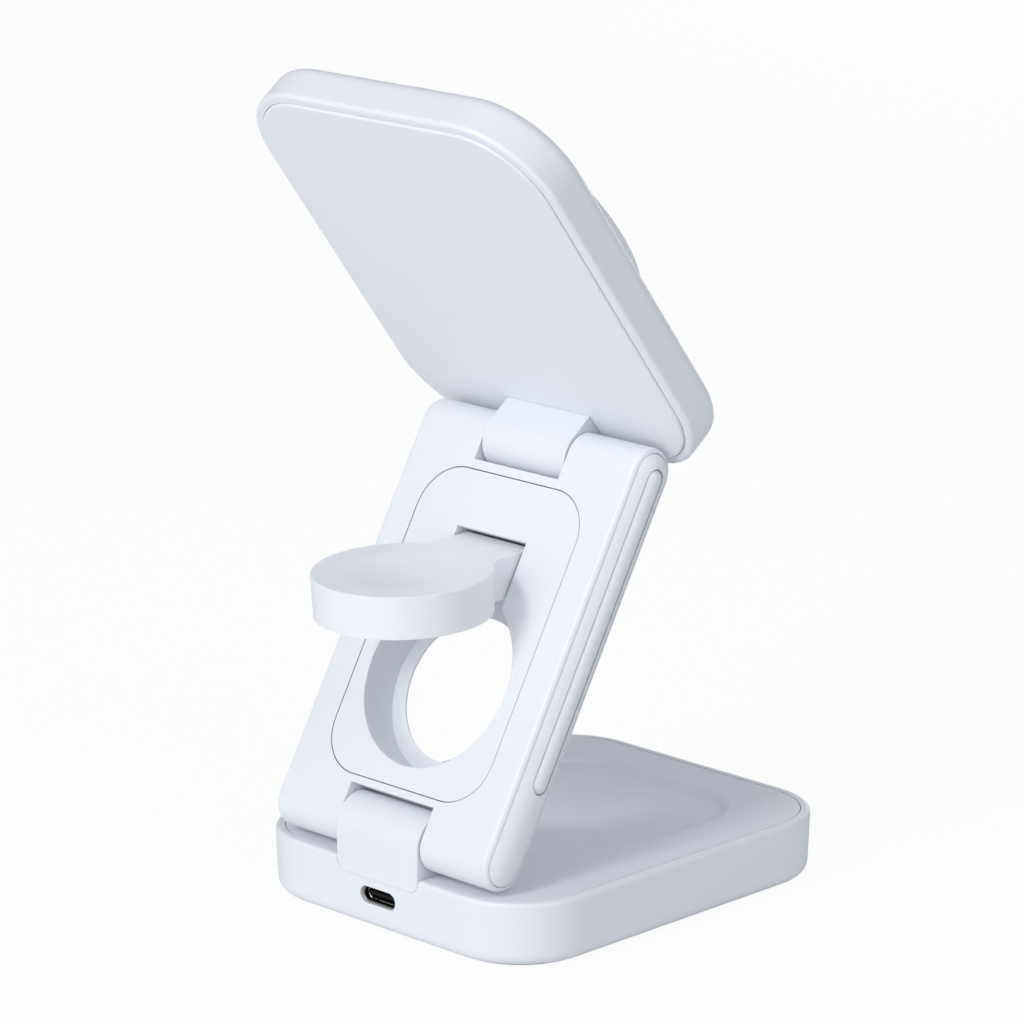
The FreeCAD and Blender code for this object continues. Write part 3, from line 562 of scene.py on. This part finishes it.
# Twelve contacts above and below the tongue, of which the power contacts reach further out
def contact_rows():
    bm = bmesh.new()
    half_width, pitch, power_contacts = 0.125, 0.5, (0, 3, 8, 11)
    for index in range(12):
        x = (index - 5.5) * pitch
        reach = 0.35 if index in power_contacts else 0.0
        for low, high in ((0.31, 0.345), (-0.345, -0.31)):
            block(bm, (x - half_width, port_front + 1.15 - reach / 2, port_level + low),
                  (x + half_width, port_front + 5.0, port_level + high), 0.012, 1)
    return bm


piece("drawn_socket_shell", socket_shell(), "base", "socket_metal", ["usb_socket"])
piece("socket_tongue_blade", contact_tongue(), "base", "socket_black", ["usb_tongue"])
piece("socket_contact_rows", contact_rows(), "base", "socket_metal", finish_name="contact_gold")


# Flat coil wound in a spiral from one stranded wire
def wound_coil(inner, outer, wire, level, middle_y):
    turns = (outer - inner - 2 * wire) / (2 * wire)
    steps_round, snug = 40, 0.96
    count = int(turns * steps_round)
    line = bpy.data.curves.new("winding", "CURVE")
    line.dimensions = "3D"
    line.bevel_depth = wire * snug
    line.bevel_resolution = 3
    line.resolution_u = 1
    line.use_fill_caps = True
    spline = line.splines.new("POLY")
    spline.points.add(count)
    for index, point in enumerate(spline.points):
        turn = tau * index / steps_round
        radius = inner + wire + 2 * wire * index / steps_round
        point.co = (radius * cos(turn), radius * sin(turn), 0, 1)
    winding = bpy.data.objects.new("winding", line)
    bpy.context.scene.collection.objects.link(winding)
    graph = bpy.context.evaluated_depsgraph_get()
    mesh = bpy.data.meshes.new_from_object(winding.evaluated_get(graph))
    bm = bmesh.new()
    bm.from_mesh(mesh)
    bpy.data.objects.remove(winding)
    bpy.data.meshes.remove(mesh)
    bpy.data.curves.remove(line)
    bmesh.ops.transform(bm, matrix=shifted(0, middle_y, level), verts=bm.verts)
    return bm


# Inner and outer radius, wire radius, level and middle of each coil
for kind, body, winding in (
        ("earbud", "base", (6.5, 15.0, 0.53, 10.2, earbud_middle)),
        ("phone", "head", (10.5, 21.0, 0.525, disc_inside + 0.6, phone_middle)),
        ("watch", "watch", (4.6, 10.0, 0.54, 1.75, puck_middle))):
    piece("wound_" + kind + "_coil", wound_coil(*winding), body, "coil_copper", [kind + "_coil"],
          kind + "_copper", 60.0)


# Ring of arc magnets with broken edges
def magnet_ring():
    bm = bmesh.new()
    count, gap, inner, outer = 16, 0.6, 23.2, 26.4
    low, high = disc_inside, disc_inside + 1.6
    pitch = 360 / count
    half = radians(pitch / 2) - gap / (inner + outer)
    corners = [bm.verts.new(spot) for spot in (
        (inner, 0, low), (outer, 0, low), (outer, 0, high), (inner, 0, high))]
    face = bm.faces.new(corners)
    bmesh.ops.rotate(bm, verts=corners, matrix=Matrix.Rotation(-half, 3, "Z"))
    bmesh.ops.spin(bm, geom=[face] + list(face.edges) + corners, axis=(0, 0, 1), angle=2 * half,
                   steps=8)
    bmesh.ops.recalc_face_normals(bm, faces=bm.faces)
    soften(bm, [edge for edge in bm.edges
                if len(edge.link_faces) == 2 and edge.calc_face_angle() > 0.7], 0.16, 2)
    return copies(bm, [shifted(0, phone_middle, 0) @ Matrix.Rotation(radians(pitch * index), 4, "Z")
                       for index in range(count)])


def centre_magnet():
    bm = lathe([(0, 1.15), (3.35, 1.15), (3.6, 1.4), (3.6, 2.1), (3.35, 2.35), (0, 2.35)], 64)
    bmesh.ops.translate(bm, verts=bm.verts, vec=(0, puck_middle, 0))
    return bm


piece("plated_arc_magnets", magnet_ring(), "head", "magnet_nickel", ["phone_magnets"])
piece("plated_centre_magnet", centre_magnet(), "watch", "magnet_nickel", ["watch_magnet"])


# Cuts a shallow round mark in the top of a drawn block
def marked(pattern, x, y, top, segments, low_radius, high_radius, depth):
    mark = bmesh.new()
    bmesh.ops.create_cone(mark, cap_ends=True, segments=segments, radius1=low_radius,
                          radius2=high_radius, depth=depth, matrix=shifted(x, y, top))
    return carved(pattern, mark)


chip_size = 5.0


# Chip bodies with a corner dimple
def chip_bodies(places):
    pattern = bmesh.new()
    half, height, dimple_inset = chip_size / 2 - 0.35, 0.9, 0.7
    block(pattern, (-half, -half, 0.08), (half, half, height), 0.1)
    corner = -half + dimple_inset
    return copies(marked(pattern, corner, corner, height, 24, 0.18, 0.3, 0.12), places)


# Seven small leads on each side of a chip
def chip_leads(places):
    pattern = bmesh.new()
    edge, pitch, half_width = chip_size / 2, 0.5, 0.11
    for side in range(4):
        for index in range(7):
            across = (index - 3) * pitch
            before = len(pattern.verts)
            block(pattern, (across - half_width, edge - 0.55, 0.0),
                  (across + half_width, edge, 0.16), 0.03, 1)
            pattern.verts.ensure_lookup_table()
            bmesh.ops.transform(pattern, matrix=Matrix.Rotation(side * pi / 2, 4, "Z"),
                                verts=pattern.verts[before:])
    return copies(pattern, places)


for title, body, solids, places in (
        ("base", "base", ["board_chips"], row(4, 9.0, -27.4, board_top)),
        ("head", "head", ["head_chips"], row(3, 9.0, 10.45, head_board_top))):
    piece(title + "_chip_bodies", chip_bodies(places), body, "chip_black", solids)
    piece(title + "_chip_leads", chip_leads(places), body, "screw_steel", finish_name="tin")


# Moulded inductors with a shallow round mark in the top
def inductor_bodies(places):
    pattern = bmesh.new()
    height = 2.8
    block(pattern, (-2.5, -2.3, 0.1), (2.5, 2.3, height), 0.4, 3)
    return copies(marked(pattern, 0, 0, height, 40, 1.5, 1.6, 0.16), places)


# A lead plate under each end of an inductor
def inductor_leads(places):
    pattern = bmesh.new()
    for side in (-1, 1):
        near, far = sorted((side * 1.9, side * 2.5))
        block(pattern, (-1.2, near, 0), (1.2, far, 0.22), 0.04, 1)
    return copies(pattern, places)


inductors = row(3, 8.0, -15.4, board_top)
piece("inductor_bodies", inductor_bodies(inductors), "base", "ferrite_grey", ["board_inductors"])
piece("inductor_leads", inductor_leads(inductors), "base", "screw_steel", finish_name="tin")


# Ceramic bodies of the small capacitors on the boards
def capacitor_bodies(places):
    pattern = bmesh.new()
    block(pattern, (-0.55, -0.38, 0.02), (0.55, 0.38, 0.72), 0.06, 1)
    return copies(pattern, places)


# Tinned ends of the same capacitors
def capacitor_ends(places):
    pattern = bmesh.new()
    for side in (-1, 1):
        near, far = sorted((side * 0.5, side * 0.8))
        block(pattern, (near, -0.4, 0), (far, 0.4, 0.75), 0.05, 1)
    return copies(pattern, places)


board_rows = [shifted(x, y, board_top) for y in (-22.3, -20.7)
              for x in (-20, -17.6, -9, -6.6, -1, 1.4, 7, 9.4, 17.6, 20)]
board_rows += [shifted(x, -12.9, board_top) @ Matrix.Rotation(pi / 2, 4, "Z")
               for x in (-20, -18.2, -16.4, 16.4, 18.2, 20)]
head_rows = [shifted(x, y, head_board_top) for y in (8.4, 10.4, 12.4)
             for x in (-18, -15.2, 15.2, 18)]
puck_rows = [shifted(x, y + puck_middle, puck_board_top) for y in (-4.5, 0, 4.5)
             for x in (-5.4, -1.8, 1.8, 5.4)]
for title, body, places in (("base", "base", board_rows), ("head", "head", head_rows),
                            ("puck", "watch", puck_rows)):
    piece(title + "_capacitor_bodies", capacitor_bodies(places), body, "chip_black",
          finish_name="ceramic")
    piece(title + "_capacitor_ends", capacitor_ends(places), body, "screw_steel",
          finish_name="tin")


# Camera in front of the charger's right corner, a little above it
def set_camera():
    turn, rise, roll = radians(44.8357), radians(14.985), radians(-0.0133)
    back = Vector((sin(turn) * cos(rise), -cos(turn) * cos(rise), sin(rise)))
    right = (-back).cross(Vector((0, 0, 1))).normalized()
    up = right.cross(-back)
    across = right * cos(roll) + up * sin(roll)
    upward = -right * sin(roll) + up * cos(roll)
    data = bpy.data.cameras.new("view")
    data.lens = 169.88
    data.sensor_width = 36.0
    data.clip_end = 20.0
    camera = bpy.data.objects.new("view", data)
    bpy.context.scene.collection.objects.link(camera)
    facing = Matrix((across, upward, back)).transposed().to_4x4()
    camera.matrix_world = shifted(0.602014, -0.614043, 0.301368) @ facing
    bpy.context.scene.camera = camera


# Plain pale floor that shows as near white and keeps a soft shadow
def set_floor():
    half_side, shown_white = 4.0, 0.94
    bm = bmesh.new()
    bmesh.ops.create_grid(bm, x_segments=1, y_segments=1, size=half_side)
    mesh = bpy.data.meshes.new("pale_floor")
    bm.to_mesh(mesh)
    bm.free()
    floor = bpy.data.objects.new("pale_floor", mesh)
    bpy.context.scene.collection.objects.link(floor)
    paint = bpy.data.materials.new("pale_floor")
    paint.use_nodes = True
    tree = paint.node_tree
    shader = tree.nodes["Principled BSDF"]
    shader.inputs["Base Color"].default_value = tint(0.86, 0.86, 0.86)
    shader.inputs["Roughness"].default_value = 0.9
    glow = tree.nodes.new("ShaderNodeEmission")
    glow.inputs["Strength"].default_value = 1.0
    rays = tree.nodes.new("ShaderNodeLightPath")
    share = tree.nodes.new("ShaderNodeMath")
    share.operation = "MULTIPLY"
    share.inputs[1].default_value = shown_white
    blend = tree.nodes.new("ShaderNodeMixShader")
    tree.links.new(rays.outputs["Is Camera Ray"], share.inputs[0])
    tree.links.new(share.outputs[0], blend.inputs[0])
    tree.links.new(shader.outputs[0], blend.inputs[1])
    tree.links.new(glow.outputs[0], blend.inputs[2])
    tree.links.new(blend.outputs[0], tree.nodes["Material Output"].inputs["Surface"])
    mesh.materials.append(paint)


# World that lights the charger dimly and shows white behind it
def set_world(strength, colour):
    world = bpy.data.worlds.new("studio")
    bpy.context.scene.world = world
    world.use_nodes = True
    tree = world.node_tree
    dim = tree.nodes["Background"]
    dim.inputs["Color"].default_value = colour
    dim.inputs["Strength"].default_value = strength
    white = tree.nodes.new("ShaderNodeBackground")
    white.inputs["Strength"].default_value = 1.0
    white.inputs["Color"].default_value = tint(1, 1, 1)
    rays = tree.nodes.new("ShaderNodeLightPath")
    blend = tree.nodes.new("ShaderNodeMixShader")
    tree.links.new(rays.outputs["Is Camera Ray"], blend.inputs[0])
    tree.links.new(dim.outputs[0], blend.inputs[1])
    tree.links.new(white.outputs[0], blend.inputs[2])
    tree.links.new(blend.outputs[0], tree.nodes["World Output"].inputs["Surface"])


# Square lamp in metres and watts that faces the middle of the charger
def soft_lamp(name, place, size, power):
    data = bpy.data.lights.new(name, "AREA")
    data.size = size
    data.energy = power
    lamp = bpy.data.objects.new(name, data)
    bpy.context.scene.collection.objects.link(lamp)
    aim = Vector((0, 0, 0.07)) - Vector(place)
    lamp.matrix_world = shifted(*place) @ aim.to_track_quat("-Z", "Y").to_matrix().to_4x4()


set_camera()
set_floor()
set_world(0.45, tint(0.89, 0.93, 1.0))
soft_lamp("key_panel", (0.05, -1.05, 0.80), 0.25, 4.55)
soft_lamp("front_panel", (0.00, -1.20, 0.40), 0.80, 4.30)
soft_lamp("side_panel", (0.95, -0.25, 0.95), 0.50, 1.95)
soft_lamp("right_panel", (1.20, 0.00, 0.45), 0.80, 1.05)
soft_lamp("back_panel", (-0.55, 1.20, 0.18), 0.60, 2.20)
bpy.context.scene.view_settings.view_transform = "Standard"
